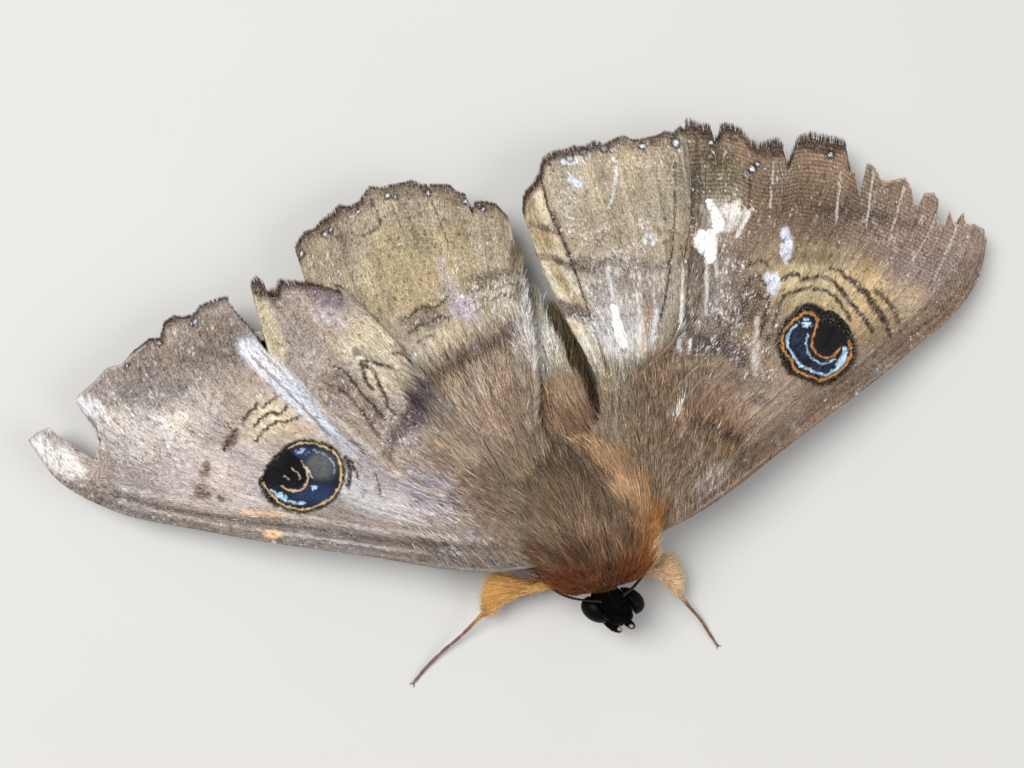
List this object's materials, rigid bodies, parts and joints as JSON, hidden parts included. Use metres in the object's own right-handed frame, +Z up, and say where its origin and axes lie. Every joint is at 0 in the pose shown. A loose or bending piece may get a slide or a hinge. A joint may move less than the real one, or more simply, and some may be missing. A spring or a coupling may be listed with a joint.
{
  "type": "southern old lady moth",
  "caption": "Life-size southern old lady moth at rest with worn wings spread flat, an eyespot on each forewing and a furry brown thorax.",
  "frame": {"origin": "middle of the moth's box at the floor it rests on", "axes": "+X towards the moth's left wing tip, +Y towards its tail, +Z up"},
  "size_m": [0.0892, 0.0474, 0.0103],
  "materials": {
    "dark_scales": "matt, black-brown scales",
    "brown_coat": "soft, brown hair-like scales with an orange-brown collar",
    "wing_scales": "matt dusty scales, brown-grey and olive-ochre, worn pale in places",
    "eye": "glossy black compound eye",
    "feeler": "matt brown",
    "leg_coat": "golden tufted scales on the forelegs, brown elsewhere"
  },
  "bodies": {
    "root": {"head": "dark_scales", "thorax": "brown_coat", "abdomen": "brown_coat", "forewing_left": "wing_scales", "forewing_right": "wing_scales", "hindwing_left": "wing_scales", "hindwing_right": "wing_scales", "eye_left": "eye", "eye_right": "eye", "antenna_left": "feeler", "antenna_right": "feeler", "palp_left": "dark_scales", "palp_right": "dark_scales", "leg_fore_left": "leg_coat", "leg_fore_right": "leg_coat", "leg_mid_left": "leg_coat", "leg_mid_right": "leg_coat", "leg_hind_left": "leg_coat", "leg_hind_right": "leg_coat"}
  },
  "joints": []
}
